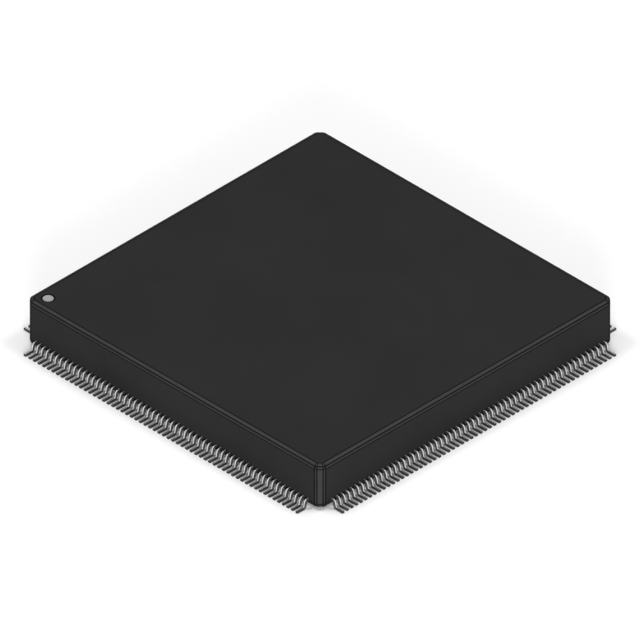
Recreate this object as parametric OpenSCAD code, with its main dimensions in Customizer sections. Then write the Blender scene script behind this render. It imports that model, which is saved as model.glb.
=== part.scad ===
// Quad flat package: a square moulded integrated circuit with gull-wing leads on all four sides.
// The row of pins 1 to N runs down the -X side from the marked corner, and the numbers go on
// anticlockwise. Z = 0 is the plane of the solder feet, and the origin is at the middle of it.

/* [Moulded body] */
// Side of the square body
body_side = 32; // [28:0.5:40]
// Height of the top face above the solder plane
seated_height = 4.2; // [3.2:0.05:4.6]
// Gap between the solder plane and the body's underside
standoff = 0.17; // [0.1:0.01:0.35]
// Leg of the flat on each upright corner
corner_chamfer = 0.5; // [0.3:0.05:1]
// Length of wall that the narrow facet beside a corner flat takes, beyond the flat's leg
corner_break = 0.11; // [0.05:0.01:0.12]
// Width of the sloping facet round the top face and the underside
bevel_width = 0.36; // [0.25:0.01:0.45]
// Drop of that facet from its inner to its outer edge
bevel_drop = 0.13; // [0.08:0.01:0.16]
// How far the facet's outer edge stands in from the wall
brow_inset = 0.035; // [0.02:0.005:0.06]
// Height of the steep facet between that edge and the wall
brow_height = 0.255; // [0.15:0.005:0.3]
// Radius that blends every facet into its neighbours
edge_radius = 0.08; // [0.04:0.01:0.12]

/* [Leads] */
// Distance from one lead to the next
lead_pitch = 0.5; // [0.4:0.05:0.8]
// Distance from the body's corner to the middle of the first lead of a row
row_margin = 1.25; // [1.1:0.05:2]
// Width of a lead
lead_width = 0.22; // [0.17:0.01:0.27]
// Thickness of the lead frame's metal
lead_thickness = 0.18; // [0.1:0.01:0.2]
// Height of the middle of a lead where it leaves the body
exit_height = 0.71; // [0.66:0.01:1]
// Reach of a lead from the body's wall to its tip
lead_reach = 1.3; // [1.1:0.05:1.8]
// Straight shoulder outside the wall, before the first bend
shoulder_length = 0.17; // [0.05:0.01:0.35]
// Inside radius of both bends
bend_radius = 0.1; // [0.05:0.005:0.16]
// Slope of a lead between its bends
drop_angle = 80; // [60:1:88]

/* [Lead frame inside the body] */
// Straight stretch of a lead inside the wall
anchor_length = 0.5; // [0.3:0.05:0.6]
// Gap between neighbouring finger tips
finger_gap = 0.08; // [0.06:0.01:0.1]
// Gap between the paddle and the finger tips
paddle_gap = 0.95; // [0.6:0.05:1.5]
// Rim of the paddle round the die
paddle_rim = 0.9; // [0.4:0.05:1.2]
// Width of the bars that tie the paddle to the corners
tie_width = 0.3; // [0.2:0.02:0.4]
// Moulding compound between the end of a tie bar and the corner's flat
tie_cover = 0.4; // [0.2:0.05:1]
// Width of the tape that holds the fingers in line
tape_width = 1.2; // [0.6:0.1:2]
// Thickness of that tape
tape_thickness = 0.06; // [0.03:0.01:0.1]
// Distance from the finger tips to the tape
tape_offset = 1.6; // [0.8:0.1:3]

/* [Die and bond wires] */
// Side of the square silicon die
die_side = 9.6; // [7:0.1:12]
// Thickness of the die
die_thickness = 0.4; // [0.2:0.02:0.6]
// Thickness of the adhesive under the die
attach_thickness = 0.04; // [0.02:0.01:0.08]
// Margin of the adhesive round the die
attach_margin = 0.15; // [0.05:0.01:0.3]
// Distance from the die's edge to the row of bond pads
pad_inset = 0.12; // [0.08:0.01:0.2]
// Distance from the die's corner to the first bond pad of a row
pad_margin = 0.35; // [0.25:0.01:0.6]
// Thickness of a bond wire
wire_size = 0.03; // [0.02:0.005:0.04]
// Diameter of the ball that joins a wire to its pad
ball_diameter = 0.07; // [0.05:0.005:0.1]
// Height of that ball
ball_height = 0.025; // [0.015:0.005:0.04]
// Height of the wire loops over the die
loop_height = 0.2; // [0.12:0.01:0.4]
// Distance from a finger's tip to where its wire comes down
landing_offset = 0.12; // [0.08:0.01:0.2]
// Length of wire pressed flat on the finger
stitch_length = 0.1; // [0.06:0.01:0.15]

/* [Marks] */
// Distance from each side of the body to the middle of the pin one mark
mark_inset = 1.25; // [1.2:0.05:3]
// Diameter of the moulded dimple of the mark
dimple_diameter = 1.02; // [0.8:0.02:1.5]
// Depth of the dimple
dimple_depth = 0.1; // [0.05:0.01:0.15]
// Ring of bare compound between the ink and the dimple's wall
ink_gap = 0.06; // [0.04:0.01:0.15]
// Thickness of the ink
ink_thickness = 0.08; // [0.02:0.01:0.1]
// Diameter of the ejector pin marks on the underside
ejector_diameter = 2.4; // [1.5:0.1:4]
// Depth of the ejector pin marks
ejector_depth = 0.06; // [0.03:0.01:0.1]
// Distance from each side of the body to an ejector pin mark
ejector_inset = 5; // [3:0.5:9]

/* [Hidden] */

mould_colour = [0.18, 0.18, 0.18];
ink_colour = [0.72, 0.72, 0.71];
tin_colour = [0.74, 0.74, 0.73];
copper_colour = [0.72, 0.45, 0.30];
tape_colour = [0.80, 0.52, 0.16];
adhesive_colour = [0.62, 0.62, 0.60];
silicon_colour = [0.30, 0.33, 0.38];
gold_colour = [0.90, 0.72, 0.30];

// Turn about Z that brings a row drawn on the +Y side to each side of the body
turn_left = 90;
turn_front = 180;
turn_right = 270;
turn_back = 0;
// Turns about Z that lay a bar along each diagonal of the body
diagonals = [45, 135];

wall = body_side / 2;
// A row takes as many leads as fit between its margins; the slack lets an exact fit count
count_slack = 0.001;
lead_count = floor((body_side - 2 * row_margin) / lead_pitch + count_slack) + 1;
row_half = (lead_count - 1) / 2;
frame_bottom = exit_height - lead_thickness / 2;
frame_top = exit_height + lead_thickness / 2;

// Lead profile
bend_mid = bend_radius + lead_thickness / 2;
bend_rise = bend_mid * (1 - cos(drop_angle));
drop_length = (frame_bottom - 2 * bend_rise) / sin(drop_angle);
bend_steps = 4;

// The outermost fingers run beside the tie bars, at this distance from them along X or Y
turn_in = wall - anchor_length;
corner_lane = turn_in - row_half * lead_pitch;
paddle_side = die_side + 2 * paddle_rim;
tip_line = paddle_side / 2 + paddle_gap;
tip_pitch = (tip_line - corner_lane) / row_half;
tip_width = tip_pitch - finger_gap;
pocket_margin = 0.5;

attach_top = frame_top + attach_thickness;
die_top = attach_top + die_thickness;
pad_line = die_side / 2 - pad_inset;
pad_pitch = (die_side / 2 - pad_margin) / row_half;

ball_facets = 24;
ink_diameter = dimple_diameter - 2 * ink_gap;
round_facets = 64;
edge_facets = 32;

// Places along a row, counted from its middle
function lead_x(i) = (i - row_half) * lead_pitch;
function tip_x(i) = (i - row_half) * tip_pitch;
function pad_x(i) = (i - row_half) * pad_pitch;

// Point where two lines meet, each given by the angle of its normal and its distance from the origin
function meet(a, a_distance, b, b_distance) =
    [a_distance * sin(b) - b_distance * sin(a), b_distance * cos(a) - a_distance * cos(b)] / sin(b - a);

// Distance of each upright face from the body's axis: a wall, a narrow facet, a corner flat, a narrow facet
turn_step = 22.5;
corner_start = wall - corner_chamfer - corner_break;
facet_distance = wall * cos(turn_step) + corner_start * sin(turn_step);
flat_distance = (2 * wall - corner_chamfer) / sqrt(2);
face_distances = [wall, facet_distance, flat_distance, facet_distance];
function face_distance(k) = face_distances[k % len(face_distances)];

// The body's outline drawn in by a distance
function body_ring(inset) = [
    for (k = [0:round(360 / turn_step) - 1])
        meet(turn_step * k, face_distance(k) - inset, turn_step * (k + 1), face_distance(k + 1) - inset)
];

// The body's upright profile as faces from the top face to the wall, each given by the angle of its
// normal over the horizon and its distance from the point of the wall that is halfway up the body
half_thickness = (seated_height - standoff) / 2;
bevel_angle = atan((bevel_width - brow_inset) / bevel_drop);
brow_angle = atan(brow_inset / brow_height);
profile = [
    [90, half_thickness],
    [bevel_angle, half_thickness * sin(bevel_angle) - bevel_width * cos(bevel_angle)],
    [brow_angle, (half_thickness - bevel_drop - brow_height) * sin(brow_angle)],
    [0, 0]
];

// Points of an arc about a centre, from one angle to another
function arc(centre, radius, from, to) = [
    for (k = [0:bend_steps])
        let (angle = from + (to - from) * k / bend_steps)
        centre + radius * [cos(angle), sin(angle)]
];

// A band of even width along a path of points, mitred at the turns
function direction(a, b) = (b - a) / norm(b - a);
function left_of(d) = [-d[1], d[0]];
function mitre(before, after) =
    let (sum = left_of(before) + left_of(after))
    2 * sum / (sum * sum);
function band_side(path, offset) = [
    for (k = [0:len(path) - 1])
        let (
            before = direction(path[max(k - 1, 0)], path[max(k, 1)]),
            after = direction(path[min(k, len(path) - 2)], path[min(k + 1, len(path) - 1)])
        )
        path[k] + offset * mitre(before, after)
];
function reversed(list) = [for (k = [len(list) - 1:-1:0]) list[k]];
function band(path, width) = concat(band_side(path, width / 2), reversed(band_side(path, -width / 2)));

// A ball whose poles and equator lie exactly on its radius
module blend_ball() {
    rotate_extrude($fn = edge_facets)
        intersection() {
            circle(edge_radius, $fn = edge_facets);
            translate([0, -edge_radius]) square([edge_radius, 2 * edge_radius]);
        }
}

// The block with its facets, every edge blended by a ball that rolls inside them
module moulded_block() {
    middle = (seated_height + standoff) / 2;
    hull()
        for (k = [0:len(profile) - 2], side = [-1, 1])
            let (
                upper = profile[k],
                lower = profile[k + 1],
                centre = meet(upper[0], upper[1] - edge_radius, lower[0], lower[1] - edge_radius)
            )
            for (p = body_ring(-centre[0]))
                translate([p[0], p[1], middle + side * centre[1]]) blend_ball();
}

module at_mark() {
    translate([-wall + mark_inset, wall - mark_inset, seated_height - dimple_depth]) children();
}

module ejector_marks() {
    reach = wall - ejector_inset;
    for (x = [-reach, reach], y = [-reach, reach])
        translate([x, y, standoff - pocket_margin])
            cylinder(h = pocket_margin + ejector_depth, d = ejector_diameter, $fn = round_facets);
}

// Plan of one lead's finger, from its tip to the given distance from the middle of the body
module finger_plan(i, outer) {
    polygon([
        [tip_x(i) - tip_width / 2, tip_line],
        [tip_x(i) + tip_width / 2, tip_line],
        [lead_x(i) + lead_width / 2, turn_in],
        [lead_x(i) + lead_width / 2, outer],
        [lead_x(i) - lead_width / 2, outer],
        [lead_x(i) - lead_width / 2, turn_in]
    ]);
}

module finger(i, outer) {
    translate([0, 0, frame_bottom])
        linear_extrude(lead_thickness) finger_plan(i, outer);
}

// Side view of the gull wing: X runs out from the wall and Y is height
module gull_wing_profile() {
    inner = bend_radius;
    outer = bend_radius + lead_thickness;
    first = [shoulder_length, exit_height - bend_mid];
    run = 2 * bend_mid * sin(drop_angle) + drop_length * cos(drop_angle);
    second = [shoulder_length + run, bend_mid + lead_thickness / 2];
    polygon(concat(
        [[0, frame_top]],
        arc(first, outer, 90, 90 - drop_angle),
        arc(second, inner, 270 - drop_angle, 270),
        [[lead_reach, lead_thickness], [lead_reach, 0]],
        arc(second, outer, 270, 270 - drop_angle),
        arc(first, inner, 90 - drop_angle, 90),
        [[0, frame_bottom]]
    ));
}

module lead(i) {
    finger(i, wall);
    translate([lead_x(i) - lead_width / 2, wall, 0])
        rotate([90, 0, 90]) linear_extrude(lead_width) gull_wing_profile();
}

module lead_row(turn) {
    color(tin_colour)
        rotate([0, 0, turn])
            for (i = [0:lead_count - 1]) lead(i);
}

// The space that a row of leads takes up in the compound, open at the wall
module lead_pockets(turn) {
    rotate([0, 0, turn])
        for (i = [0:lead_count - 1]) finger(i, wall + pocket_margin);
}

// One bond wire: a ball on the die's pad, a low loop, and a stitch on the finger
module wire(i) {
    finger_lean = (lead_x(i) - tip_x(i)) / (turn_in - tip_line);
    start = [pad_x(i), pad_line];
    finish = [tip_x(i) + finger_lean * landing_offset, tip_line + landing_offset];
    span = norm(finish - start);
    heading = atan2(finish[1] - start[1], finish[0] - start[0]);
    landing = frame_top + wire_size / 2;
    path = [
        [0, die_top],
        [0, die_top + loop_height],
        [span, landing],
        [span + stitch_length, landing]
    ];
    translate([start[0], start[1], 0]) {
        translate([0, 0, die_top]) cylinder(h = ball_height, d = ball_diameter, $fn = ball_facets);
        rotate([0, 0, heading])
            translate([0, wire_size / 2, 0])
                rotate([90, 0, 0]) linear_extrude(wire_size) polygon(band(path, wire_size));
    }
}

module wires(turn) {
    rotate([0, 0, turn])
        for (i = [0:lead_count - 1]) wire(i);
}

module wire_row(turn) {
    color(gold_colour) wires(turn);
}

module square_plate(side, bottom, thickness) {
    translate([-side / 2, -side / 2, bottom]) cube([side, side, thickness]);
}

// The plate under the die, with a tie bar from each of its corners
module die_paddle() {
    corner_flat = (body_side - corner_chamfer) / sqrt(2);
    bar_end = corner_flat - tie_cover;
    color(copper_colour)
        union() {
            square_plate(paddle_side, frame_bottom, lead_thickness);
            for (turn = diagonals)
                rotate([0, 0, turn])
                    translate([-bar_end, -tie_width / 2, frame_bottom])
                        cube([2 * bar_end, tie_width, lead_thickness]);
        }
}

module lead_lock_tape() {
    inner_half = tip_line + tape_offset;
    outer_half = inner_half + tape_width;
    color(tape_colour)
        difference() {
            square_plate(2 * outer_half, frame_top, tape_thickness);
            square_plate(2 * inner_half, frame_top - pocket_margin, 2 * pocket_margin);
        }
}

module die_attach() {
    color(adhesive_colour)
        square_plate(die_side + 2 * attach_margin, frame_top, attach_thickness);
}

module die() {
    color(silicon_colour)
        square_plate(die_side, attach_top, die_thickness);
}

module pin_one_dot() {
    color(ink_colour)
        at_mark() cylinder(h = ink_thickness, d = ink_diameter, $fn = round_facets);
}

// The compound, moulded round everything that it holds
module mould_body() {
    color(mould_colour)
        difference() {
            moulded_block();
            at_mark() cylinder(h = dimple_depth + pocket_margin, d = dimple_diameter, $fn = round_facets);
            ejector_marks();
            for (turn = [turn_left, turn_front, turn_right, turn_back]) lead_pockets(turn);
            die_paddle();
            lead_lock_tape();
            die_attach();
            die();
            for (turn = [turn_left, turn_front, turn_right, turn_back]) wires(turn);
        }
}

mould_body();
pin_one_dot();
lead_row(turn_left);  // leads_left
lead_row(turn_front);  // leads_front
lead_row(turn_right);  // leads_right
lead_row(turn_back);  // leads_back
die_paddle();
lead_lock_tape();
die_attach();
die();
wire_row(turn_left);  // wires_left
wire_row(turn_front);  // wires_front
wire_row(turn_right);  // wires_right
wire_row(turn_back);  // wires_back
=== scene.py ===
"""Looks of a quad flat package: moulded body, tinned gull-wing leads, pin one dot and the parts inside.

Lengths are in metres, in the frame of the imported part: Z = 0 is the plane of the solder feet, the
origin is at the middle of it, and pin one is at the corner towards -X and +Y.
"""

import math
from collections import namedtuple

import bpy
import numpy as np
from bpy.props import FloatProperty, FloatVectorProperty, IntProperty, PointerProperty
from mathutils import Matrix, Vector


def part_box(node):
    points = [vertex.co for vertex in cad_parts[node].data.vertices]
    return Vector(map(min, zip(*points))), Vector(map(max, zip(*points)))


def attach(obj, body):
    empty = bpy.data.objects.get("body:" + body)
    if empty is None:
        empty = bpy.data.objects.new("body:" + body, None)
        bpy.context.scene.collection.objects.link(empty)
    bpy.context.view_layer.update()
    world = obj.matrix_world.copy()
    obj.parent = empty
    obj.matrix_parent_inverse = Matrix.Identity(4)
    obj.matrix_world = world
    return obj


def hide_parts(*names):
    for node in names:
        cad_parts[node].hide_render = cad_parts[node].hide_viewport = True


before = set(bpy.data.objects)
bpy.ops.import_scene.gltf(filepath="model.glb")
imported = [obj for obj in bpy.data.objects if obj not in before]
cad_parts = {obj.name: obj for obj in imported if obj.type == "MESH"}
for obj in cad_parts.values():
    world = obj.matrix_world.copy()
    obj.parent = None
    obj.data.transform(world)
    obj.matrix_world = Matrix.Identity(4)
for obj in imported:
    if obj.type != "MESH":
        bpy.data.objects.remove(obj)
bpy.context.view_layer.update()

bl_info = {
    "name": "Quad Flat Package",
    "version": (1, 0, 0),
    "blender": (4, 5, 0),
    "location": "View3D > Sidebar > Package",
    "description": "Builds the looks of a moulded integrated circuit round its packed frame",
    "category": "Object",
}

MM = 0.001
BODY_LOW, BODY_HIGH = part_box("mould_body")
ROW_LOW, ROW_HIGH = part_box("leads_back")
DOT_LOW, DOT_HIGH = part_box("pin_one_dot")
DOT_MIDDLE = (DOT_LOW + DOT_HIGH) / 2
_, DIE_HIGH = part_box("die")

# Turn about Z that brings a row drawn on the +Y side to each side of the body
ROW_TURNS = {"left": 0.5 * math.pi, "front": math.pi, "right": 1.5 * math.pi, "back": 0.0}

# Turn from one face of the body's outline to the next
FACET_TURN = math.pi / 8
# Steps over a rounded edge of the body, round a bend of a lead or a wire, and round a quarter of a circle
BLEND_STEPS = 3
BEND_STEPS = 3
CIRCLE_STEPS = 12
# Angles of the points round a whole circle
CIRCLE = np.arange(4 * CIRCLE_STEPS) * math.pi / (2 * CIRCLE_STEPS)
# Sides of a bond wire, as many as a lead's section has corners, and the two quads that close such a bar's end
WIRE_SIDES = 6
END_CAP = np.array([[0, 1, 2, 5], [2, 3, 4, 5]])
# Turns between two faces past which the edge of a lead or a wire is sharp
LEAD_SHARP = math.radians(40)
WIRE_SHARP = math.radians(70)

# Widths of a bond wire's ball at its foot, middle and top, as shares of its diameter
BALL_PROFILE = (0.75, 1.0, 0.7)
# Where the neck over the ball ends, as a share of the ball's height
NECK_RISE = 1.4
# How far a wire still is over its landing as it nears it, as a share of the loop's bend
HEEL_RISE = 0.1
# Thickness of the stitch, as a share of the wire's diameter
STITCH_THICKNESS = 0.45

# Waves of the ink dot's outline: how many go round, the height as a share of the radius, and the start
INK_WAVES = ((3, 0.006, 0.6), (7, 0.004, 0.0), (11, 0.002, 0.0))
# Mean reach of that outline, as a share of the radius
INK_REACH = 0.988
# Profile of the dot from the middle of its base, round its edge, to the middle of its top, as shares of its
# reach and thickness
INK_PROFILE = ((0.0, 0.0), (0.985, 0.0), (1.0, 0.3), (0.995, 0.72), (0.97, 0.95), (0.93, 1.0), (0.82, 0.95),
               (0.6, 0.9), (0.3, 0.88), (0.0, 0.88))
# Shares of the dot's greatest reach at which its film begins to thin and at which it is thinnest
FULL_INK = 0.90
THIN_INK = 0.98

# Power of a facet's slant that gives how much painted highlight it takes, and how much the slant of an
# upright facet counts
SLANT_POWER = 0.55
UPRIGHT_SHARE = 0.42
# How much wider the line of resin is along facets that take less painted highlight, as painted shade on the
# sides towards +X and +Y
SHADED_SIDE_LINE = 1.6
# Distances from an edge at which the line of resin or of tarnish ends, and within which it is full
RESIN_FADE = 0.075 * MM
RESIN_LINE = 0.035 * MM
TARNISH_FADE = 0.074 * MM
TARNISH_LINE = 0.046 * MM
# How dark the sides of a lead are: partly bare of plate, partly painted shade between the leads
SIDE_SHADE_AND_BARENESS = 0.75
# Seed of the leads' tones
TONE_SEED = 11

# Half the floor's side, and how far it lies under the feet
FLOOR_REACH = 2.0
FLOOR_DROP = 0.005 * MM
# How far off the lamps and the camera stand, and the nearest and farthest that the camera sees
LAMP_DISTANCE = 0.25
CAMERA_DISTANCE = 0.3
CAMERA_NEAR = 1.0 * MM
CAMERA_FAR = 10.0
# Each lamp's name, the direction it stands in, its width and the setting with its share of the light
LAMPS = (
    ("front", (-1.0, -1.0, 0.3), 0.10, "front"),
    ("left", (-1.0, 1.0, 3.0), 0.08, "sides"),
    ("right", (1.0, -1.0, 3.0), 0.08, "sides"),
    ("back", (1.0, 1.0, 2.45), 0.10, "back"),
)
BLACK = (0.0, 0.0, 0.0)
WHITE = (1.0, 1.0, 1.0)


# Settings


def length(name, description, default):
    """A length that a user may change."""
    return FloatProperty(name=name, description=description, default=default, unit="LENGTH", precision=5)


def arc(name, description, default):
    """An angle that a user may change."""
    return FloatProperty(name=name, description=description, default=default, subtype="ANGLE")


def colour(name, description, default):
    """A colour that a user may change, as linear red, green and blue."""
    return FloatVectorProperty(name=name, description=description, default=default, subtype="COLOR", size=3,
                               min=0.0, max=1.0)


def level(name, description, default):
    """A plain number from nothing upwards, such as the share of light from one lamp."""
    return FloatProperty(name=name, description=description, default=default, min=0.0, subtype="FACTOR",
                         soft_max=2.0)


class PackageBody(bpy.types.PropertyGroup):
    """Sizes of the moulded body."""

    side: length("Side", "Side of the square body", BODY_HIGH.x - BODY_LOW.x)
    top: length("Top", "Height of the top face", BODY_HIGH.z)
    underside: length("Underside", "Height of the underside", BODY_LOW.z)
    corner_flat: length("Corner flat", "Leg of the flat on each upright corner", 0.5 * MM)
    corner_break: length("Corner break", "Wall taken by the narrow facet beside a corner flat", 0.11 * MM)
    bevel_width: length("Bevel width", "Width of the sloping facet round the top and underside", 0.36 * MM)
    bevel_drop: length("Bevel drop", "Drop of that facet from its inner to its outer edge", 0.13 * MM)
    brow_inset: length("Brow inset", "How far the facet's outer edge stands in from the wall", 0.035 * MM)
    brow_height: length("Brow height", "Height of the steep facet from that edge to the wall", 0.255 * MM)
    edge_radius: length("Edge radius", "Radius that blends every facet into its neighbours", 0.08 * MM)
    recess_round: length("Recess round", "Radius at the rim and foot of a recess", 0.02 * MM)
    dimple_width: length("Dimple", "Diameter of the pin one dimple", 1.02 * MM)
    dimple_depth: length("Dimple depth", "Depth of the pin one dimple", BODY_HIGH.z - DOT_LOW.z)
    ejector_width: length("Ejector mark", "Diameter of an ejector pin mark", 2.4 * MM)
    ejector_depth: length("Ejector depth", "Depth of an ejector pin mark", 0.06 * MM)
    ejector_inset: length("Ejector inset", "Distance from each side to an ejector pin mark", 5.0 * MM)


class PackageLeads(bpy.types.PropertyGroup):
    """Sizes of the leads, outside the body and within it."""

    count: IntProperty(name="Count", description="Leads along each side", default=60, min=2)
    pitch: length("Pitch", "Distance from one lead to the next", 0.5 * MM)
    width: length("Width", "Width of a lead", 0.22 * MM)
    thickness: length("Thickness", "Thickness of the lead frame's metal", 0.18 * MM)
    top: length("Shoulder top", "Height of the top of a lead where it leaves the body", ROW_HIGH.z)
    reach: length("Reach", "Distance from the body's wall to a lead's tip", ROW_HIGH.y - BODY_HIGH.y)
    shoulder: length("Shoulder", "Straight stretch outside the wall", 0.17 * MM)
    bend_radius: length("Bend radius", "Inside radius of both bends", 0.1 * MM)
    drop_angle: arc("Drop angle", "Slope of a lead between its bends", math.radians(80))
    edge_roll: length("Edge roll", "How far the stamping rolls over the upper edges", 0.03 * MM)
    anchor: length("Anchor", "Straight stretch inside the wall", 0.5 * MM)
    finger_line: length("Finger line", "Distance from the middle to the finger tips", ROW_LOW.y)
    finger_gap: length("Finger gap", "Gap between neighbouring finger tips", 0.08 * MM)


class PackageWires(bpy.types.PropertyGroup):
    """Sizes of the bond wires."""

    width: length("Wire", "Diameter of a bond wire", 0.03 * MM)
    ball_width: length("Ball", "Diameter of the ball on the die", 0.07 * MM)
    ball_height: length("Ball height", "Height of that ball", 0.025 * MM)
    loop_height: length("Loop", "Height of a loop over the die", 0.2 * MM)
    loop_bend: length("Loop bend", "Radius of the loop's shoulder", 0.06 * MM)
    pad_inset: length("Pad inset", "Distance from the die's edge to the pads", 0.12 * MM)
    pad_margin: length("Pad margin", "Distance from the die's corner to the first pad", 0.35 * MM)
    landing: length("Landing", "Distance from a finger's tip to the wire's landing", 0.12 * MM)
    stitch: length("Stitch", "Length of wire pressed flat on the finger", 0.1 * MM)


class PackageColours(bpy.types.PropertyGroup):
    """Colours of the materials."""

    compound: colour("Compound", "Black moulding compound", (0.0166, 0.0166, 0.0169))
    # Pale colour of the painted highlight on the facets, which the filler specks also take
    pale_highlight: colour("Pale highlight", "Compound painted paler on facets as a highlight, and filler specks", (0.040, 0.040, 0.0404))
    # Dark colour of the resin line along the edges, also the painted shade where that line is widened
    resin_and_shade: colour("Resin", "Compound with no filler, along its edges", (0.002, 0.002, 0.002))
    ink: colour("Ink", "Pale ink of the pin one dot", (0.315, 0.315, 0.311))
    tin: colour("Tin", "Matte tin plate", (0.41, 0.41, 0.406))
    # Paler tin of the painted highlight on the slopes of the leads
    slope_highlight: colour("Slope highlight tin", "Tin painted paler as a highlight on the slopes", (0.82, 0.82, 0.814))
    copper: colour("Copper", "Stamped copper alloy", (0.48, 0.17, 0.075))
    tape: colour("Tape", "Amber polyimide film", (0.60, 0.23, 0.02))
    adhesive: colour("Adhesive", "Silver filled epoxy", (0.34, 0.34, 0.32))
    silicon: colour("Silicon", "Polished silicon", (0.075, 0.09, 0.12))
    gold: colour("Gold", "Drawn gold", (0.79, 0.48, 0.07))


class PackageStage(bpy.types.PropertyGroup):
    """Floor, light and camera."""

    floor: colour("Floor", "Pale floor", (0.98, 0.98, 0.98))
    ambient: level("Ambient", "Even light from all round", 0.32)
    front: level("Front", "Low light from the camera's side", 0.88)
    sides: level("Sides", "High light from the left and from the right", 0.285)
    back: level("Back", "High light from behind", 0.15)
    lift: level("Lift", "What brings the seen floor up to white", 0.035)
    azimuth: arc("Azimuth", "Camera's turn about the part", math.radians(-45))
    elevation: arc("Elevation", "Camera's height over the horizon", math.atan(math.sqrt(0.5)))
    view_width: length("View width", "Width of what the camera sees", 49.105 * MM)
    aim_height: length("Aim height", "Height of the point at the middle of the view", 2.14 * MM)


# Surfaces


# Marks are three numbers to a point: how much painted highlight its face takes as a slanting facet, and the
# distances to the nearest edge up or down the profile and round the outline
Patch = namedtuple("Patch", "points quads normals marks")


def grid_quads(rows, columns, closed=False):
    """Quads of a grid. Each goes from a point to the next row, then to the next column, and back; a
    closed grid joins its last column to its first."""
    row = np.arange(rows - 1)[:, None]
    column = np.arange(columns if closed else columns - 1)[None, :]
    beside = (column + 1) % columns
    corners = (row * columns + column, (row + 1) * columns + column,
               (row + 1) * columns + beside, row * columns + beside)
    return np.stack(np.broadcast_arrays(*corners), axis=-1).reshape(-1, 4)


def join_patches(patches):
    """All patches as one, with each patch's quads counted on from the points before it."""
    starts = np.cumsum([0] + [len(patch.points) for patch in patches[:-1]])
    return Patch(
        np.concatenate([patch.points for patch in patches]),
        np.concatenate([patch.quads + start for patch, start in zip(patches, starts)]),
        np.concatenate([patch.normals for patch in patches]),
        np.concatenate([patch.marks for patch in patches]),
    )


def weld(patch, grain=1e-8):
    """Joins points that share a grain of space, which closes seams and poles. Returns the points that
    are left, the faces as lists of corners, the normals and the marks."""
    cells = np.round(patch.points / grain).astype(np.int64)
    _, first, back = np.unique(cells, axis=0, return_index=True, return_inverse=True)
    quads = back.reshape(-1)[patch.quads]
    used, renamed = np.unique(quads, return_inverse=True)
    quads = renamed.reshape(-1, 4)
    first = first[used]
    doubled = quads == np.roll(quads, -1, axis=1)
    whole = quads[doubled.sum(axis=1) == 0]
    poles = doubled.sum(axis=1) == 1
    triangles = quads[poles][~doubled[poles]].reshape(-1, 3)
    faces = whole.tolist() + triangles.tolist()
    return patch.points[first], faces, patch.normals[first], patch.marks[first]


def as_points(x, y, z):
    """Points from arrays of their coordinates, stretched to the same shape."""
    return np.stack(np.broadcast_arrays(x, y, z), axis=-1)


def turned(points, angle):
    """Points turned about Z, by one angle or by an angle for each."""
    x, y, z = points[..., 0], points[..., 1], points[..., 2]
    cosine, sine = np.cos(angle), np.sin(angle)
    return as_points(x * cosine - y * sine, x * sine + y * cosine, z)


def meet(first, first_reach, second, second_reach):
    """Where two lines cross, each given by the angle of its normal and its distance from the origin. Each
    coordinate is a difference of the two distances, each times the sine or cosine of the other angle, over
    the sine of the turn between them."""
    turn = math.sin(second - first)
    across = (first_reach * math.sin(second) - second_reach * math.sin(first)) / turn
    up = (second_reach * math.cos(first) - first_reach * math.cos(second)) / turn
    return across, up


def body_profile(body):
    """The upright profile of the body, from the top face to the underside. Returns the elevation of each
    face's normal, and the inset and height of the balls that roll between a face and the next."""
    half = (body.top - body.underside) / 2
    bevel = math.atan2(body.bevel_width - body.brow_inset, body.bevel_drop)
    brow = math.atan2(body.brow_inset, body.brow_height)
    angle = [math.pi / 2, bevel, brow, 0.0]
    face = [half, half * math.sin(bevel) - body.bevel_width * math.cos(bevel),
            (half - body.bevel_drop - body.brow_height) * math.sin(brow), 0.0]
    reach = np.array(face) - body.edge_radius
    bends = range(len(angle) - 1)
    centres = np.array([meet(angle[k], reach[k], angle[k + 1], reach[k + 1]) for k in bends])
    elevation = np.array(angle + [-brow, -bevel, -math.pi / 2])
    inset = np.concatenate([-centres[:, 0], -centres[::-1, 0]])
    height = (body.top + body.underside) / 2 + np.concatenate([centres[:, 1], -centres[::-1, 1]])
    return elevation, inset, height


def body_corners(body):
    """A quarter of the body's outline. Its faces are a narrow facet, a wall, a facet, a corner flat, a facet
    and the next wall, a step of azimuth apart. Returns the azimuth of each, where each meets the next, and
    how far that point moves as the outline is drawn in by a unit."""
    wall = body.side / 2
    facet_start = wall - body.corner_flat - body.corner_break
    facet = wall * math.cos(FACET_TURN) + facet_start * math.sin(FACET_TURN)
    flat = (2 * wall - body.corner_flat) / math.sqrt(2)
    azimuth = FACET_TURN * np.arange(-1, 5)
    reach = [facet, wall, facet, flat, facet, wall]
    bends = range(len(reach) - 1)
    places = np.array([meet(azimuth[k], reach[k], azimuth[k + 1], reach[k + 1]) for k in bends])
    moves = np.array([meet(azimuth[k], 1.0, azimuth[k + 1], 1.0) for k in bends])
    return azimuth, places, moves


def stretched(column, values):
    """Rows of values at fractional places between whole ones."""
    whole = np.arange(len(values))
    return np.stack([np.interp(column, whole, values[:, axis]) for axis in range(values.shape[1])], axis=-1)


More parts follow.
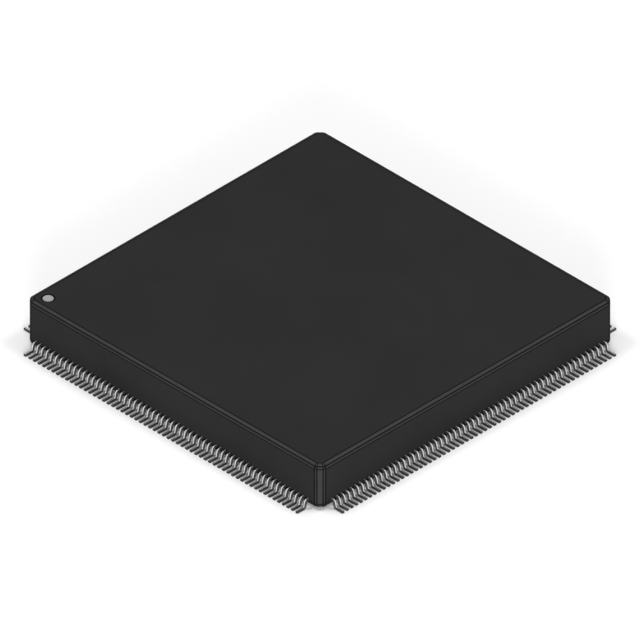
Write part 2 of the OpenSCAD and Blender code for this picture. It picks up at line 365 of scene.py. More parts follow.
def block_sides(body, shares):
    """The body's wall with all its facets. A ball's radius times a normal is added to a ring of ball
    centres. Along a ring, the normal's azimuth fans round each corner and rests along each face, and the
    points of a wall keep their shares of it. Down the profile, its elevation goes from straight up to
    straight down, and each ring is the outline drawn in by its own inset. Every face has a point or a ring
    halfway across, where its distance to the nearest edge is greatest. Facets take a painted highlight the
    more, the more they slant, and most on the sides towards -X and -Y, and the line of resin along their
    edges is widened as painted shade where they take less of it."""
    azimuth, places, moves = body_corners(body)
    faces, inset, height = body_profile(body)
    fan = np.append(np.linspace(0.0, 1.0, BLEND_STEPS + 1), 1.0)
    halfway = np.append(np.zeros(BLEND_STEPS + 1), 0.5)
    off_middle = np.abs(fan - 0.5) * body.edge_radius

    bends = np.abs(np.diff(faces))[:, None]
    slopes = np.append(np.hypot(np.diff(inset), np.diff(height)), 0.0)[:, None]
    row = (np.arange(len(inset))[:, None] + halfway).ravel()[:-1]
    elevation = (faces[:-1, None] + np.diff(faces)[:, None] * fan).ravel()[:-1, None]
    down = (bends * off_middle + slopes * halfway).ravel()[:-1, None]
    ring = stretched(row, np.column_stack([inset, height]))

    widths = np.linalg.norm(np.diff(places, axis=0), axis=1)
    column = np.concatenate([halfway[:-1], (1 + shares) / 2, (np.arange(1, 4)[:, None] + halfway).ravel()])
    swing = np.concatenate([azimuth[0] + FACET_TURN * fan[:-1], 0.0 * shares,
                            (azimuth[1:4, None] + FACET_TURN * fan).ravel()])
    sideways = np.concatenate([FACET_TURN * off_middle[:-1], widths[0] / 2 * (1 - np.abs(shares)),
                               (FACET_TURN * off_middle + widths[1:, None] * halfway).ravel()])
    place = np.tile(stretched(column, places), (4, 1))
    move = np.tile(stretched(column, moves), (4, 1))
    turn = np.repeat(np.arange(4) * math.pi / 2, len(column))
    heading = turn + np.tile(swing, 4)

    out = place[:, 0] - ring[:, :1] * move[:, 0]
    along = place[:, 1] - ring[:, :1] * move[:, 1]
    centres = turned(as_points(out, along, ring[:, 1:]), turn)
    level_part = np.cos(elevation)
    normals = as_points(level_part * np.cos(heading), level_part * np.sin(heading), np.sin(elevation))
    upright = UPRIGHT_SHARE * np.abs(np.sin(2 * heading)) * level_part
    slant = np.maximum(np.abs(np.sin(2 * elevation)), upright)
    # Share of the painted highlight by side: one from the -X side round to the -Y side, down to nought at
    # the corner opposite
    painted_lit_side = np.minimum((1 - np.cos(heading - math.pi / 4)) / (1 + math.sqrt(0.5)), 1.0)
    points = centres + body.edge_radius * normals
    quads = grid_quads(len(elevation), len(heading), closed=True)
    # Where a facet takes less painted highlight, its line of resin widens as painted shade
    line_width = 1 + SHADED_SIDE_LINE * (1 - painted_lit_side)
    marks = as_points(slant ** SLANT_POWER * painted_lit_side, down / line_width, np.tile(sideways, 4))
    return Patch(points.reshape(-1, 3), quads, normals.reshape(-1, 3), marks.reshape(-1, 3))


def flat_face(height, facing, outline, stations, centres, square, rim):
    """The top face or underside. A grid goes through the stations and out to the walls, without its four
    corner cells and without the cells within the square round each recess. At each corner, three quads go
    from the grid to the outline's facets, each of which has a point halfway along. The edges that a point
    is marked with are the outline and the nearest recess's rim."""
    half, straight = outline[1]
    lines = np.concatenate([[-half], stations, [half]])
    x, y = np.meshgrid(lines, lines, indexing="ij")
    points = np.stack([x, y, np.full_like(x, height)], axis=-1).reshape(-1, 3)
    middles = (lines[1:] + lines[:-1]) / 2
    mid_x, mid_y = np.meshgrid(middles, middles, indexing="ij")
    keep = (np.abs(mid_x) < straight) | (np.abs(mid_y) < straight)
    for centre in centres:
        keep &= (np.abs(mid_x - centre[0]) > square) | (np.abs(mid_y - centre[1]) > square)
    quads = grid_quads(len(lines), len(lines))[keep.reshape(-1)]
    # From the end of one wall to the start of the next
    by_halves = np.arange(1.0, 4.5, 0.5)
    corner = np.vstack([(straight, straight), stretched(by_halves, outline)])
    corner = np.column_stack([corner, np.full(len(corner), height)])
    corners = np.concatenate([turned(corner, quarter * math.pi / 2) for quarter in range(4)])
    fan = np.array([[0, 1, 2, 3], [0, 3, 4, 5], [0, 5, 6, 7]])
    corner_quads = fan + len(corner) * np.arange(4)[:, None, None]
    points = np.concatenate([points, corners])
    quads = np.concatenate([quads, corner_quads.reshape(-1, 4) + x.size])
    normals = np.tile([0.0, 0.0, facing], (len(points), 1))
    to_rim = [np.hypot(points[:, 0] - centre[0], points[:, 1] - centre[1]) - rim for centre in centres]
    marks = as_points(0.0, half - np.abs(points[:, :2]).max(axis=1), np.min(to_rim, axis=0))
    return Patch(points, quads[:, ::int(facing)], normals, marks)


def round_recess(centre, height, facing, square, width, depth, soft):
    """A round recess in a square of the flat. Round the circle, every row has the same angles; inwards,
    the rows go from the square over a rounded rim, down the wall and over a rounded foot to the middle
    of the floor. All of it is marked as edge."""
    radius = width / 2
    cosine, sine = np.cos(CIRCLE), np.sin(CIRCLE)
    bend = np.linspace(0, math.pi / 2, BLEND_STEPS + 1)
    across = np.concatenate([radius + soft - soft * np.sin(bend), radius - soft + soft * np.cos(bend), [0.0]])
    down = np.concatenate([[0.0], soft - soft * np.cos(bend), depth - soft + soft * np.sin(bend), [depth]])
    inward = np.concatenate([[0.0], np.sin(bend), np.cos(bend), [0.0]])[:, None]
    outward = np.concatenate([[1.0], np.cos(bend), np.sin(bend), [1.0]])[:, None]
    to_square = square / np.maximum(np.abs(cosine), np.abs(sine))
    reach = np.vstack([to_square, np.repeat(across[:, None], len(CIRCLE), axis=1)])
    points = as_points(centre[0] + reach * cosine, centre[1] + reach * sine, height - facing * down[:, None])
    normals = as_points(-inward * cosine, -inward * sine, facing * outward)
    quads = grid_quads(len(down), len(CIRCLE), closed=True)[:, ::-int(facing)]
    points = points.reshape(-1, 3)
    return Patch(points, quads, normals.reshape(-1, 3), np.zeros_like(points))


def moulded_body_surface(body, dimple_centre):
    """The whole body: its wall, the top face with the dimple, and the underside with four ejector marks.
    All three share the stations along their edges, so they close without a seam."""
    _, places, moves = body_corners(body)
    _, insets, _ = body_profile(body)
    outline = places - insets[0] * moves
    straight = outline[1, 1]
    soft = body.recess_round
    dimple_rim = body.dimple_width / 2 + soft
    ejector_rim = body.ejector_width / 2 + soft
    dimple_square = dimple_rim + soft
    ejector_square = ejector_rim + soft
    ejector_place = body.side / 2 - body.ejector_inset
    spread = np.tan(np.linspace(-math.pi / 4, math.pi / 4, CIRCLE_STEPS + 1))
    across = np.concatenate([ejector_place + ejector_square * spread,
                             dimple_centre[1] + dimple_square * spread])
    stations = np.sort(np.concatenate([[-straight, 0.0, straight], -across, across]))
    ejectors = [(x, y) for x in (-ejector_place, ejector_place) for y in (-ejector_place, ejector_place)]
    patches = [
        block_sides(body, stations[1:-1] / straight),
        flat_face(body.top, 1.0, outline, stations, [dimple_centre], dimple_square, dimple_rim),
        flat_face(body.underside, -1.0, outline, stations, ejectors, ejector_square, ejector_rim),
        round_recess(dimple_centre, body.top, 1.0, dimple_square, body.dimple_width, body.dimple_depth, soft),
    ]
    patches += [round_recess(place, body.underside, -1.0, ejector_square, body.ejector_width,
                             body.ejector_depth, soft) for place in ejectors]
    return weld(join_patches(patches))


def swept_quads(copies, stations, sides):
    """Faces of equal bars that stand one after another in one list of points: the skin of each bar as a
    closed grid, and each end as two quads across its six corners."""
    far_cap = END_CAP[:, ::-1] + (stations - 1) * sides
    one = np.concatenate([grid_quads(stations, sides, closed=True), END_CAP, far_cap])
    return (one[None] + (np.arange(copies) * stations * sides)[:, None, None]).reshape(-1, 4)


def row_fan(leads, wall):
    """Places of a row's leads, counted from its middle, at the wall and at the finger tips. The outermost
    fingers run at 45 degrees, beside the tie bars, so the pitch at the tips follows from the rest."""
    index = np.arange(leads.count) - (leads.count - 1) / 2
    turn_in = wall - leads.anchor
    lane = turn_in - index[-1] * leads.pitch
    tip_pitch = (leads.finger_line - lane) / index[-1]
    return index * leads.pitch, index * tip_pitch, tip_pitch - leads.finger_gap, turn_in


def lead_section(leads):
    """The six corners of a lead's section, which has two rolled upper edges. Returns the side that each
    corner stands on, how far the roll draws it in from there, and how far it stands over the middle."""
    side = np.array([-1.0, 1.0, 1.0, 1.0, -1.0, -1.0])
    drawn_in = leads.edge_roll * np.array([0.0, 0.0, 0.0, 1.0, 1.0, 0.0])
    rolled_down = leads.edge_roll * np.array([0.0, 0.0, 1.0, 0.0, 0.0, 1.0])
    up = leads.thickness / 2 * np.array([-1.0, -1.0, 1.0, 1.0, 1.0, 1.0]) - rolled_down
    return side, drawn_in, up


def lead_slope(leads):
    """How steeply a lead's middle line falls at each station: level along the finger and the shoulder,
    steeper round the first bend, less steep again round the second, and level along the foot."""
    bend = np.linspace(0, leads.drop_angle, BEND_STEPS + 1)
    return np.concatenate([[0.0, 0.0], bend, bend[::-1], [0.0]])


def lead_row_points(leads, wall):
    """A row of leads on the +Y side, as an array of lead, station and corner. The middle line runs level
    from the finger's tip to the shoulder, round an arc, down the slope, round an arc the other way and
    level along the foot. The lead's section is carried along it, square to the line."""
    at_wall, at_tip, tip_width, turn_in = row_fan(leads, wall)
    middle = leads.top - leads.thickness / 2
    bend_middle = leads.bend_radius + leads.thickness / 2
    drop = leads.drop_angle
    rise = bend_middle * (1 - math.cos(drop))
    slope_length = (middle - leads.thickness / 2 - 2 * rise) / math.sin(drop)
    run = 2 * bend_middle * math.sin(drop) + slope_length * math.cos(drop)
    bend = np.linspace(0, drop, BEND_STEPS + 1)
    first = wall + leads.shoulder
    out = np.concatenate([[leads.finger_line, turn_in], first + bend_middle * np.sin(bend),
                          first + run - bend_middle * np.sin(bend[::-1]), [wall + leads.reach]])
    height = np.concatenate([[middle, middle], middle - bend_middle * (1 - np.cos(bend)),
                             leads.thickness / 2 + bend_middle * (1 - np.cos(bend[::-1])),
                             [leads.thickness / 2]])
    slope = lead_slope(leads)
    sideways = np.tile(at_wall[:, None], (1, len(out)))
    sideways[:, 0] = at_tip
    half_width = np.full(len(out), leads.width / 2)
    half_width[0] = tip_width / 2
    side, drawn_in, up = lead_section(leads)
    x = sideways[:, :, None] + side * (half_width[:, None] - drawn_in)
    y = out[:, None] + up * np.sin(slope)[:, None]
    z = height[:, None] + up * np.cos(slope)[:, None]
    return as_points(x, y, z)


def lead_bareness_and_shade(stations):
    """How bare and shaded each face of a lead is: partly on the sides, where the plate is thin, with painted
    shade between the leads, and wholly bare at both ends, which were cut after it was plated."""
    stretch = [0.0, SIDE_SHADE_AND_BARENESS, 0.0, 0.0, 0.0, SIDE_SHADE_AND_BARENESS]
    ends = np.ones(2 * len(END_CAP))
    return np.append(np.tile(stretch, stations - 1), ends)


def wire_row_points(wires, leads, wall):
    """A row of bond wires on the +Y side, as an array of wire, station and corner. In the upright plane
    from its pad to its finger, a wire's middle line goes up through the ball, round the loop's shoulder,
    straight down to the finger and flat along the stitch. A six-sided section follows it, wide at the
    ball and pressed flat at the stitch."""
    at_wall, at_tip, _, turn_in = row_fan(leads, wall)
    pad_pitch = (DIE_HIGH.x - wires.pad_margin) / (leads.count - 1) * 2
    at_pad = at_tip / (at_tip[1] - at_tip[0]) * pad_pitch
    lean = (at_wall - at_tip) / (turn_in - leads.finger_line)
    start = np.stack([at_pad, np.full_like(at_pad, DIE_HIGH.y - wires.pad_inset)], axis=-1)
    finish = np.stack([at_tip + lean * wires.landing,
                       np.full_like(at_pad, leads.finger_line + wires.landing)], axis=-1)
    span = np.linalg.norm(finish - start, axis=1)[:, None]
    heading = (finish - start) / span
    top = DIE_HIGH.z + wires.loop_height
    landing = leads.top + wires.width / 2
    bend = wires.loop_bend
    turn = np.linspace(0, math.pi / 2, BEND_STEPS + 1)
    shoulder = bend * (1 - np.cos(turn))
    rise = wires.ball_height * np.array([0.0, 0.5, 1.0, NECK_RISE])
    along = np.concatenate([
        np.zeros((len(span), len(rise))), np.tile(shoulder, (len(span), 1)),
        span - bend, span, span + wires.stitch], axis=1)
    height = np.concatenate([
        DIE_HIGH.z + rise, top - bend + bend * np.sin(turn), [landing + HEEL_RISE * bend, landing, landing]])
    radius = np.full(len(height), wires.width / 2)
    radius[:len(BALL_PROFILE)] = wires.ball_width / 2 * np.array(BALL_PROFILE)
    flat = np.ones(len(height))
    flat[-1] = STITCH_THICKNESS
    step_along = np.gradient(along, axis=1)
    step_up = np.gradient(height)
    size = np.hypot(step_along, step_up)
    normal_along = -step_up / size
    normal_up = step_along / size
    round_angle = np.arange(WIRE_SIDES) * 2 * math.pi / WIRE_SIDES
    swell = (radius * flat)[:, None] * np.cos(round_angle)
    side = -radius[:, None] * np.sin(round_angle)
    forward = along[:, :, None] + normal_along[:, :, None] * swell
    x = start[:, 0, None, None] + heading[:, 0, None, None] * forward + heading[:, 1, None, None] * side
    y = start[:, 1, None, None] + heading[:, 1, None, None] * forward - heading[:, 0, None, None] * side
    z = height[:, None] + normal_up[:, :, None] * swell
    return as_points(x, y, z)


def ink_dot_surface():
    """The ink dot: round the circle its outline wanders by three slow waves; from the middle of its base
    the rows go out to the edge, round it, and in over a raised rim to the slightly sunken middle. Returns
    the points, the faces, and each point's distance from the middle as a share of the greatest."""
    radius = (DOT_HIGH.x - DOT_LOW.x) / 2
    thickness = DOT_HIGH.z - DOT_LOW.z
    waves = sum(height * np.sin(count * CIRCLE + start) for count, height, start in INK_WAVES)
    out, rise = np.array(INK_PROFILE).T[:, :, None]
    reach = radius * out * (INK_REACH + waves)
    points = as_points(DOT_MIDDLE.x + reach * np.cos(CIRCLE), DOT_MIDDLE.y + reach * np.sin(CIRCLE),
                       DOT_LOW.z + thickness * rise).reshape(-1, 3)
    quads = grid_quads(len(out), len(CIRCLE), closed=True)[:, ::-1]
    points, faces, _, _ = weld(Patch(points, quads, np.zeros_like(points), np.zeros_like(points)))
    from_middle = np.hypot(points[:, 0] - DOT_MIDDLE.x, points[:, 1] - DOT_MIDDLE.y)
    return points, faces, from_middle / from_middle.max()


# Materials


def tinted(tint, factor):
    """A colour made lighter or darker by a factor, within what a surface can reflect."""
    return tuple(min(1.0, channel * factor) for channel in tint)


class Signal:
    """A value that comes out of a node. Arithmetic on it adds Math nodes."""

    def __init__(self, finish, socket):
        self.finish = finish
        self.socket = socket

    def __add__(self, other):
        return self.finish.math("ADD", self, other)

    def __radd__(self, other):
        return self.finish.math("ADD", other, self)

    def __sub__(self, other):
        return self.finish.math("SUBTRACT", self, other)

    def __rsub__(self, other):
        return self.finish.math("SUBTRACT", other, self)

    def __mul__(self, other):
        return self.finish.math("MULTIPLY", self, other)

    def __rmul__(self, other):
        return self.finish.math("MULTIPLY", other, self)

    def __lt__(self, other):
        return self.finish.math("LESS_THAN", self, other)

    def __gt__(self, other):
        return self.finish.math("GREATER_THAN", self, other)

    def __abs__(self):
        return self.finish.math("ABSOLUTE", self)


class Finish:
    """A node tree under construction, for a material or the world."""

    # Places of a Mix node's sockets when it mixes colours
    MIX_FACTOR, MIX_FIRST, MIX_SECOND, MIX_RESULT = 0, 6, 7, 2
    METRES_TO_MM = 1000.0

    def __init__(self, tree):
        self.tree = tree

    def add(self, kind, settings, inputs, output=0):
        """Adds a node of a kind, sets it up, fills or links its sockets, and returns one output."""
        node = self.tree.nodes.new(kind)
        for key, value in settings.items():
            setattr(node, key, value)
        for key, value in inputs.items():
            self.plug(node.inputs[key], value)
        return Signal(self, node.outputs[output])

    def plug(self, socket, value):
        """Links a signal to a socket, or sets the socket to a plain value."""
        if isinstance(value, Signal):
            self.tree.links.new(value.socket, socket)
        else:
            socket.default_value = value

    def math(self, operation, *values):
        """What a Math node makes of numbers and signals, in their order."""
        return self.add("ShaderNodeMath", {"operation": operation}, dict(enumerate(values)))

    def place(self, stretch):
        """Where a point lies on the part, in millimetres, stretched along each axis."""
        where = self.add("ShaderNodeTexCoord", {}, {}, output="Object")
        factors = tuple(self.METRES_TO_MM * factor for factor in stretch)
        return self.add("ShaderNodeVectorMath", {"operation": "MULTIPLY"}, {0: where, 1: factors})

    def noise(self, per_mm, detail, stretch=(1.0, 1.0, 1.0)):
        """Smooth noise around one half, with so many features to the millimetre."""
        inputs = {"Vector": self.place(stretch), "Scale": per_mm, "Detail": detail}
        return self.add("ShaderNodeTexNoise", {}, inputs)

    def cells(self, per_mm, output="Distance"):
        """Scattered cells, so many to the millimetre: how far the nearest one's middle is, or its colour."""
        inputs = {"Vector": self.place((1.0, 1.0, 1.0)), "Scale": per_mm}
        return self.add("ShaderNodeTexVoronoi", {}, inputs, output=output)

    def specks(self, per_mm, size):
        """One in round specks of a size at the middles of scattered cells, and nought between them."""
        return self.cells(per_mm) < size

    def value_of(self, name):
        """A value that is stored on the piece's points or faces."""
        return self.add("ShaderNodeAttribute", {"attribute_name": name}, {}, output="Fac")

    def ramp(self, value, zero_at, one_at):
        """Nought at a value and beyond, one at another and beyond, and smooth between the two."""
        return self.add("ShaderNodeMapRange", {"interpolation_type": "SMOOTHSTEP"},
                        {"Value": value, "From Min": zero_at, "From Max": one_at})

    def blend(self, factor, first, second):
        """A colour between two colours."""
        first, second = (c if isinstance(c, Signal) else (*c, 1.0) for c in (first, second))
        inputs = {self.MIX_FACTOR: factor, self.MIX_FIRST: first, self.MIX_SECOND: second}
        return self.add("ShaderNodeMix", {"data_type": "RGBA"}, inputs, output=self.MIX_RESULT)

    def shades(self, factor, tint, start, end):
        """A colour between two shades of a tint, each the tint times a number."""
        return self.blend(factor, tinted(tint, start), tinted(tint, end))

    def bump(self, height, depth):
        """A normal that follows a height of nought to one over so many metres."""
        return self.add("ShaderNodeBump", {}, {"Height": height, "Distance": depth, "Strength": 1.0})


class Surface(Finish):
    """The node tree of a new material, with a Principled shader."""

    def __init__(self, name):
        self.material = bpy.data.materials.new(name)
        self.material.use_nodes = True
        super().__init__(self.material.node_tree)

    def fill(self, **sockets):
        """Fills the shader's sockets, named with underscores for spaces, and returns the material."""
        shader = self.tree.nodes["Principled BSDF"]
        for name, value in sockets.items():
            self.plug(shader.inputs[name.replace("_", " ")], value)
        return self.material


def black_epoxy(colours):
    """Black filled epoxy from a spark-eroded mould: a fine grain, faint clouds where it flowed, grains of
    silica filler, a painted highlight on the slanting facets, and a dark line of bare resin along each edge,
    where no filler is, widened as painted shade on the sides towards +X and +Y."""
    finish = Surface("black_epoxy")
    clouds = finish.noise(per_mm=0.16, detail=4.0)
    grain = finish.noise(per_mm=11.0, detail=3.0)
    pits = finish.cells(per_mm=8.0)
    filler = finish.specks(per_mm=5.0, size=0.12)
    # Painted highlight on the slanting facets, uneven with noise, and smoother there
    facet_highlight = finish.value_of("facet") * (0.7 + 0.6 * finish.noise(per_mm=1.3, detail=3.0))
    to_edge = finish.math("MINIMUM", finish.value_of("edge_down"), finish.value_of("edge_sideways"))
    edge = finish.ramp(to_edge, zero_at=RESIN_FADE, one_at=RESIN_LINE)
    flow = finish.ramp(clouds, zero_at=0.3, one_at=0.7)
    flowed = finish.shades(flow, colours.compound, start=0.92, end=1.08)
    # Filler specks in the same pale colour as the painted highlight
    speckled = finish.blend(filler * 0.25, flowed, colours.pale_highlight)
    return finish.fill(
        # Painted highlight on the facets, then the resin line, widened as painted shade on the +X and +Y
        # sides
        Base_Color=finish.blend(edge, finish.blend(facet_highlight, speckled, colours.pale_highlight), colours.resin_and_shade),
        Roughness=0.66 - 0.1 * grain + 0.06 * clouds - 0.14 * facet_highlight,
        Specular_IOR_Level=0.05,
        Normal=finish.bump(grain * 0.7 + pits * 0.5, depth=0.004 * MM),
    )


def marking_ink(colours):
    """Pale matte ink: a mottled film with a fine screen of pinholes and a thin rim, which the black shows
    through."""
    finish = Surface("marking_ink")
    mottle = finish.noise(per_mm=6.0, detail=3.0)
    pinholes = finish.specks(per_mm=22.0, size=0.13)
    thin = finish.ramp(finish.value_of("rim"), zero_at=FULL_INK, one_at=THIN_INK)
    patches = finish.ramp(mottle, zero_at=0.3, one_at=0.75)
    film = finish.shades(patches, colours.ink, start=0.86, end=1.08)
    printed = finish.blend(pinholes * 0.35, film, tinted(colours.ink, factor=0.4))
    return finish.fill(
        Base_Color=finish.blend(thin, printed, tinted(colours.ink, factor=0.05)),
        Roughness=0.58 + 0.2 * mottle,
        Specular_IOR_Level=0.3,
        Normal=finish.bump(mottle, depth=0.003 * MM),
    )


def matte_tin(colours, leads):
    """Matte tin plate over copper alloy: fine crystals, a slightly different tone on each lead, patches left
    by the forming tool, a painted highlight on the slope between the bends, dull dark faces at each cut
    tip, and along the sides as bare metal where the plate is thin and as painted shade between the leads,
    and a line of tarnish along each edge, where the plate is thin. A point's distance to the
    nearest edge is half the section's width and height together, less how far the point stands across and up
    from the middle."""
    finish = Surface("matte_tin")
    tone = finish.value_of("lead_tone")
    crystals = finish.cells(per_mm=28.0, output="Color")
    patchy = finish.noise(per_mm=7.0, detail=3.0)
    bare_and_shaded = finish.value_of("bare_and_shaded")
    # Painted highlight on the slope of each lead, paler the steeper it falls
    pale_highlight = finish.ramp(finish.value_of("slope_highlight"), zero_at=0.3, one_at=1.0)
    across, up = finish.value_of("across"), finish.value_of("up")
    to_edge = (leads.width + leads.thickness) / 2 - abs(across) - abs(up)
    tarnish = finish.ramp(to_edge, zero_at=TARNISH_FADE, one_at=TARNISH_LINE)
    plain = finish.shades(tone, colours.tin, start=0.93, end=1.05)
    slope_lit = finish.blend(pale_highlight, plain, colours.slope_highlight)
    grained = finish.blend(0.06, slope_lit, crystals)
    # Cut tips bare, and the sides dark as thinly plated metal and as painted shade between the leads
    plated = finish.blend(bare_and_shaded, grained, tinted(colours.tin, factor=0.08))
    return finish.fill(
        Base_Color=finish.blend(tarnish, plated, tinted(colours.tin, factor=0.05)),
        Metallic=0.92 - 0.2 * bare_and_shaded,
        Roughness=0.38 + 0.14 * patchy + 0.05 * tone + 0.2 * bare_and_shaded,
        Normal=finish.bump(patchy, depth=0.004 * MM),
    )


def stamped_copper(colours):
    """Stamped copper alloy: rolling lines along X, dull stains and a satin sheen."""
    finish = Surface("stamped_copper")
    rolled = finish.noise(per_mm=9.0, detail=2.0, stretch=(0.04, 1.0, 1.0))
    stain = finish.ramp(finish.noise(per_mm=0.5, detail=4.0), zero_at=0.35, one_at=0.7)
    return finish.fill(
        Base_Color=finish.shades(stain, colours.copper, start=1.0, end=0.7),
        Metallic=1.0,
        Roughness=0.26 + 0.2 * rolled,
        Normal=finish.bump(rolled, depth=0.003 * MM),
    )


def amber_film(colours):
    """Amber polyimide film: faint clouds and long scratches under a glossy skin."""
    finish = Surface("amber_film")
    clouds = finish.noise(per_mm=0.8, detail=3.0)
    scratches = finish.noise(per_mm=12.0, detail=1.0, stretch=(0.05, 1.0, 1.0))
    return finish.fill(
        Base_Color=finish.shades(clouds, colours.tape, start=1.0, end=0.7),
        Roughness=0.2 + 0.2 * scratches,
        Coat_Weight=0.4,
    )


def silver_epoxy(colours):
    """Silver filled adhesive: flakes of silver in a grey binder."""
    finish = Surface("silver_epoxy")
    flakes = finish.cells(per_mm=20.0, output="Color")
    silver = finish.ramp(finish.cells(per_mm=20.0), zero_at=0.5, one_at=0.2)
    lumps = finish.noise(per_mm=3.0, detail=3.0)
    binder = finish.shades(lumps, colours.adhesive, start=1.0, end=0.8)
    return finish.fill(
        Base_Color=finish.blend(0.25, binder, flakes),
        Metallic=silver * 0.7,
        Roughness=0.4 + 0.25 * lumps,
        Normal=finish.bump(lumps, depth=0.005 * MM),
    )


def polished_silicon(colours):
    """Polished silicon under clear glass: blocks of circuitry tint its face, with finer cells in each."""
    finish = Surface("polished_silicon")
    blocks = finish.cells(per_mm=0.7, output="Color")
    cells = finish.cells(per_mm=6.0)
    etched = finish.shades(cells * 0.6, colours.silicon, start=1.0, end=1.6)
    return finish.fill(
        Base_Color=finish.blend(0.18, etched, blocks),
        Metallic=0.55,
        Roughness=0.12 + 0.12 * cells,
        Coat_Weight=0.5,
    )


def drawn_gold(colours):
    """Drawn gold wire: bright, with a slightly dull patch here and there."""
    finish = Surface("drawn_gold")
    dull = finish.noise(per_mm=4.0, detail=2.0)
    return finish.fill(
        Base_Color=finish.shades(dull, colours.gold, start=1.0, end=0.82),
        Metallic=1.0,
        Roughness=0.18 + 0.16 * dull,
    )


# Pieces


def new_object(name, data):
    """A new object in the scene, for a mesh, a lamp or a camera."""
    thing = bpy.data.objects.new(name, data)
    bpy.context.scene.collection.objects.link(thing)
    return thing


def new_piece(name, points, faces, material, node):
    """A mesh at the origin, seen smooth, that rides on the part and stands for a node of the frame."""
    mesh = bpy.data.meshes.new(name)
    mesh.from_pydata(points, [], faces)
    mesh.shade_smooth()
    mesh.materials.append(material)
    piece = new_object(name, mesh)
    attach(piece, "root")
    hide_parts(node)
    return piece


def new_rows(row, name, node, material, sharp):
    """A piece for each side of the body, made of a row of equal bars that is drawn on the +Y side."""
    copies, stations, sides, _ = row.shape
    faces = swept_quads(copies, stations, sides).tolist()
    pieces = []
    for side, turn in ROW_TURNS.items():
        points = turned(row, turn).reshape(-1, 3)
        piece = new_piece(name + side, points, faces, material, node + side)
        piece.data.set_sharp_from_angle(angle=sharp)
        pieces.append(piece)
    return pieces


def store_value(piece, name, values, domain="POINT"):
    """Stores a number on each point or face of a piece, for its material to read."""
    attribute = piece.data.attributes.new(name, "FLOAT", domain)
    attribute.data.foreach_set("value", np.ascontiguousarray(values, dtype=np.float32))


def dress(node, material):
    """Gives a node of the frame a material."""
    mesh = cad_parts[node].data
    mesh.materials.clear()
    mesh.materials.append(material)


class PACKAGE_OT_moulded_body(bpy.types.Operator):
    """Moulds the black epoxy body, with its dimple and ejector marks"""

    bl_idname = "package.moulded_body"
    bl_label = "Moulded Body"

    def execute(self, context):
        scene = context.scene
        points, faces, normals, marks = moulded_body_surface(scene.package_body, DOT_MIDDLE.xy)
        material = black_epoxy(scene.package_colours)
        piece = new_piece("moulded_body", points, faces, material, "mould_body")
        piece.data.normals_split_custom_set_from_vertices(normals)
        for name, values in zip(("facet", "edge_down", "edge_sideways"), marks.T):
            store_value(piece, name, values)
        return {"FINISHED"}


class PACKAGE_OT_pin_one_dot(bpy.types.Operator):
    """Prints the pale ink dot in the dimple at the pin one corner"""

    bl_idname = "package.pin_one_dot"
    bl_label = "Pin One Dot"

    def execute(self, context):
        points, faces, rim = ink_dot_surface()
        material = marking_ink(context.scene.package_colours)
        piece = new_piece("ink_dot", points, faces, material, "pin_one_dot")
        store_value(piece, "rim", rim)
        return {"FINISHED"}


class PACKAGE_OT_lead_rows(bpy.types.Operator):
    """Forms the four rows of tinned gull-wing leads"""

    bl_idname = "package.lead_rows"
    bl_label = "Lead Rows"

    def execute(self, context):
        scene = context.scene
        leads = scene.package_leads
        material = matte_tin(scene.package_colours, leads)
        row = lead_row_points(leads, scene.package_body.side / 2)
        copies, stations, sides, _ = row.shape
        side_of, drawn_in, up = lead_section(leads)
        across = side_of * (leads.width / 2 - drawn_in)
        # Painted highlight on each lead's slope, by how steeply it falls
        slope_highlight = np.repeat(lead_slope(leads) / leads.drop_angle, sides)
        # Bare cut tips, and sides darkened as thin plate and as painted shade between the leads
        bare_and_shaded = np.tile(lead_bareness_and_shade(stations), copies)
        random = np.random.default_rng(TONE_SEED)
        for piece in new_rows(row, "tinned_leads_", "leads_", material, LEAD_SHARP):
            tone = random.uniform(size=copies)
            store_value(piece, "lead_tone", np.repeat(tone, stations * sides))
            store_value(piece, "bare_and_shaded", bare_and_shaded, domain="FACE")
            store_value(piece, "across", np.tile(across, copies * stations))
            store_value(piece, "up", np.tile(up, copies * stations))
            store_value(piece, "slope_highlight", np.tile(slope_highlight, copies))
        return {"FINISHED"}


class PACKAGE_OT_bond_wires(bpy.types.Operator):
    """Draws the gold bond wires from the die to the finger tips"""

    bl_idname = "package.bond_wires"
    bl_label = "Bond Wires"

    def execute(self, context):
        scene = context.scene
        material = drawn_gold(scene.package_colours)
        row = wire_row_points(scene.package_wires, scene.package_leads, scene.package_body.side / 2)
        new_rows(row, "bond_wires_", "wires_", material, WIRE_SHARP)
        return {"FINISHED"}


class PACKAGE_OT_inner_finishes(bpy.types.Operator):
    """Finishes the die, its adhesive, the paddle and the tape inside the body"""

    bl_idname = "package.inner_finishes"
    bl_label = "Inner Finishes"

    def execute(self, context):
        colours = context.scene.package_colours
        dress("die_paddle", stamped_copper(colours))
        dress("lead_lock_tape", amber_film(colours))
        dress("die_attach", silver_epoxy(colours))
        dress("die", polished_silicon(colours))
        return {"FINISHED"}


# Stage


def seen_white(finish):
    """One for rays that should see a white background: from the camera, from gloss and through glass."""
    camera, gloss, glass = (finish.add("ShaderNodeLightPath", {}, {}, output=f"Is {kind} Ray")
                            for kind in ("Camera", "Glossy", "Transmission"))
    return finish.math("MAXIMUM", camera, finish.math("MAXIMUM", gloss, glass))


def white_world(stage):
    """A world that lights evenly and is white where it is seen."""
    world = bpy.data.worlds.new("studio")
    world.use_nodes = True
    finish = Finish(world.node_tree)
    background = world.node_tree.nodes["Background"]
    light = finish.blend(seen_white(finish), [stage.ambient] * 3, WHITE)
    finish.plug(background.inputs["Color"], light)
    return world


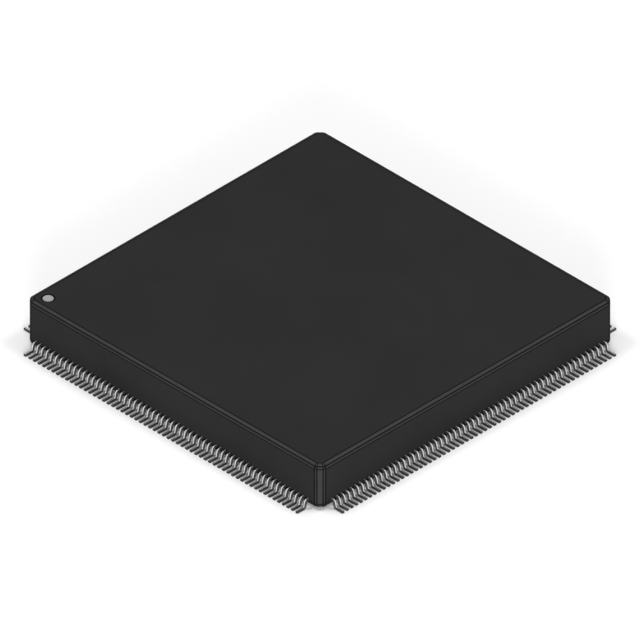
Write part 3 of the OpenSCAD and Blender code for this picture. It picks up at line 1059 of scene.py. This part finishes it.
def pale_floor(stage):
    """A pale matte floor, lifted to white where it is seen, that keeps the part's shadow."""
    finish = Surface("pale_floor")
    return finish.fill(
        Base_Color=(*stage.floor, 1.0),
        Roughness=1.0,
        Specular_IOR_Level=0.0,
        Emission_Color=finish.blend(seen_white(finish), BLACK, [stage.lift] * 3),
        Emission_Strength=1.0,
    )


def set_floor(stage):
    """A square floor just under the feet."""
    corners = [(-FLOOR_REACH, -FLOOR_REACH, -FLOOR_DROP), (FLOOR_REACH, -FLOOR_REACH, -FLOOR_DROP),
               (FLOOR_REACH, FLOOR_REACH, -FLOOR_DROP), (-FLOOR_REACH, FLOOR_REACH, -FLOOR_DROP)]
    mesh = bpy.data.meshes.new("floor")
    mesh.from_pydata(corners, [], [(0, 1, 2, 3)])
    mesh.materials.append(pale_floor(stage))
    floor = new_object("floor", mesh)


def look_back(thing, target, direction, distance):
    """Puts a lamp or a camera at a distance from its target in a direction, and turns it to the target."""
    thing.location = target + direction * distance
    thing.rotation_euler = direction.to_track_quat("Z", "Y").to_euler()


def set_lamp(name, towards, width, share):
    """A square lamp that looks at the part from a direction and lights a face turned to it by a share of
    full light: a lamp of power P at distance D gives P over the square of pi times D."""
    light = bpy.data.lights.new(name, "AREA")
    light.shape = "SQUARE"
    light.size = width
    light.energy = share * (math.pi * LAMP_DISTANCE) ** 2
    look_back(new_object(name, light), Vector(), Vector(towards).normalized(), LAMP_DISTANCE)


def set_camera(stage):
    """A camera without perspective, which looks at the part from the chosen side."""
    data = bpy.data.cameras.new("camera")
    data.type = "ORTHO"
    data.ortho_scale = stage.view_width
    data.clip_start = CAMERA_NEAR
    data.clip_end = CAMERA_FAR
    camera = new_object("camera", data)
    level_share = math.cos(stage.elevation)
    back = Vector((math.sin(stage.azimuth) * level_share, -math.cos(stage.azimuth) * level_share,
                   math.sin(stage.elevation)))
    look_back(camera, Vector((0.0, 0.0, stage.aim_height)), back, CAMERA_DISTANCE)
    bpy.context.scene.camera = camera


class PACKAGE_OT_stage(bpy.types.Operator):
    """Sets the floor, the lamps, the world and the camera"""

    bl_idname = "package.stage"
    bl_label = "Stage"

    def execute(self, context):
        scene = context.scene
        stage = scene.package_stage
        scene.view_settings.view_transform = "Standard"
        scene.world = white_world(stage)
        set_floor(stage)
        for name, towards, width, setting in LAMPS:
            set_lamp(name, towards, width, getattr(stage, setting))
        set_camera(stage)
        return {"FINISHED"}


# Panel and registration


STEPS = (
    PACKAGE_OT_moulded_body, PACKAGE_OT_pin_one_dot, PACKAGE_OT_lead_rows, PACKAGE_OT_bond_wires,
    PACKAGE_OT_inner_finishes, PACKAGE_OT_stage,
)
GROUPS = {
    "package_body": PackageBody,
    "package_leads": PackageLeads,
    "package_wires": PackageWires,
    "package_colours": PackageColours,
    "package_stage": PackageStage,
}


class VIEW3D_PT_package(bpy.types.Panel):
    """Lists the settings and the steps"""

    bl_idname = "VIEW3D_PT_package"
    bl_label = "Quad Flat Package"
    bl_space_type = "VIEW_3D"
    bl_region_type = "UI"
    bl_category = "Package"

    def draw(self, context):
        for group, cls in GROUPS.items():
            settings = getattr(context.scene, group)
            box = self.layout.box()
            for name in cls.__annotations__:
                box.prop(settings, name)
        for step in STEPS:
            self.layout.operator(step.bl_idname)


def register():
    for cls in (*GROUPS.values(), *STEPS, VIEW3D_PT_package):
        bpy.utils.register_class(cls)
    for group, cls in GROUPS.items():
        setattr(bpy.types.Scene, group, PointerProperty(type=cls))


def unregister():
    for group in GROUPS:
        delattr(bpy.types.Scene, group)
    for cls in (VIEW3D_PT_package, *reversed(STEPS), *reversed(GROUPS.values())):
        bpy.utils.unregister_class(cls)


def main():
    """Builds every piece and the stage."""
    register()
    bpy.ops.package.moulded_body()
    bpy.ops.package.pin_one_dot()
    bpy.ops.package.lead_rows()
    bpy.ops.package.bond_wires()
    bpy.ops.package.inner_finishes()
    bpy.ops.package.stage()


if __name__ == "__main__":
    main()
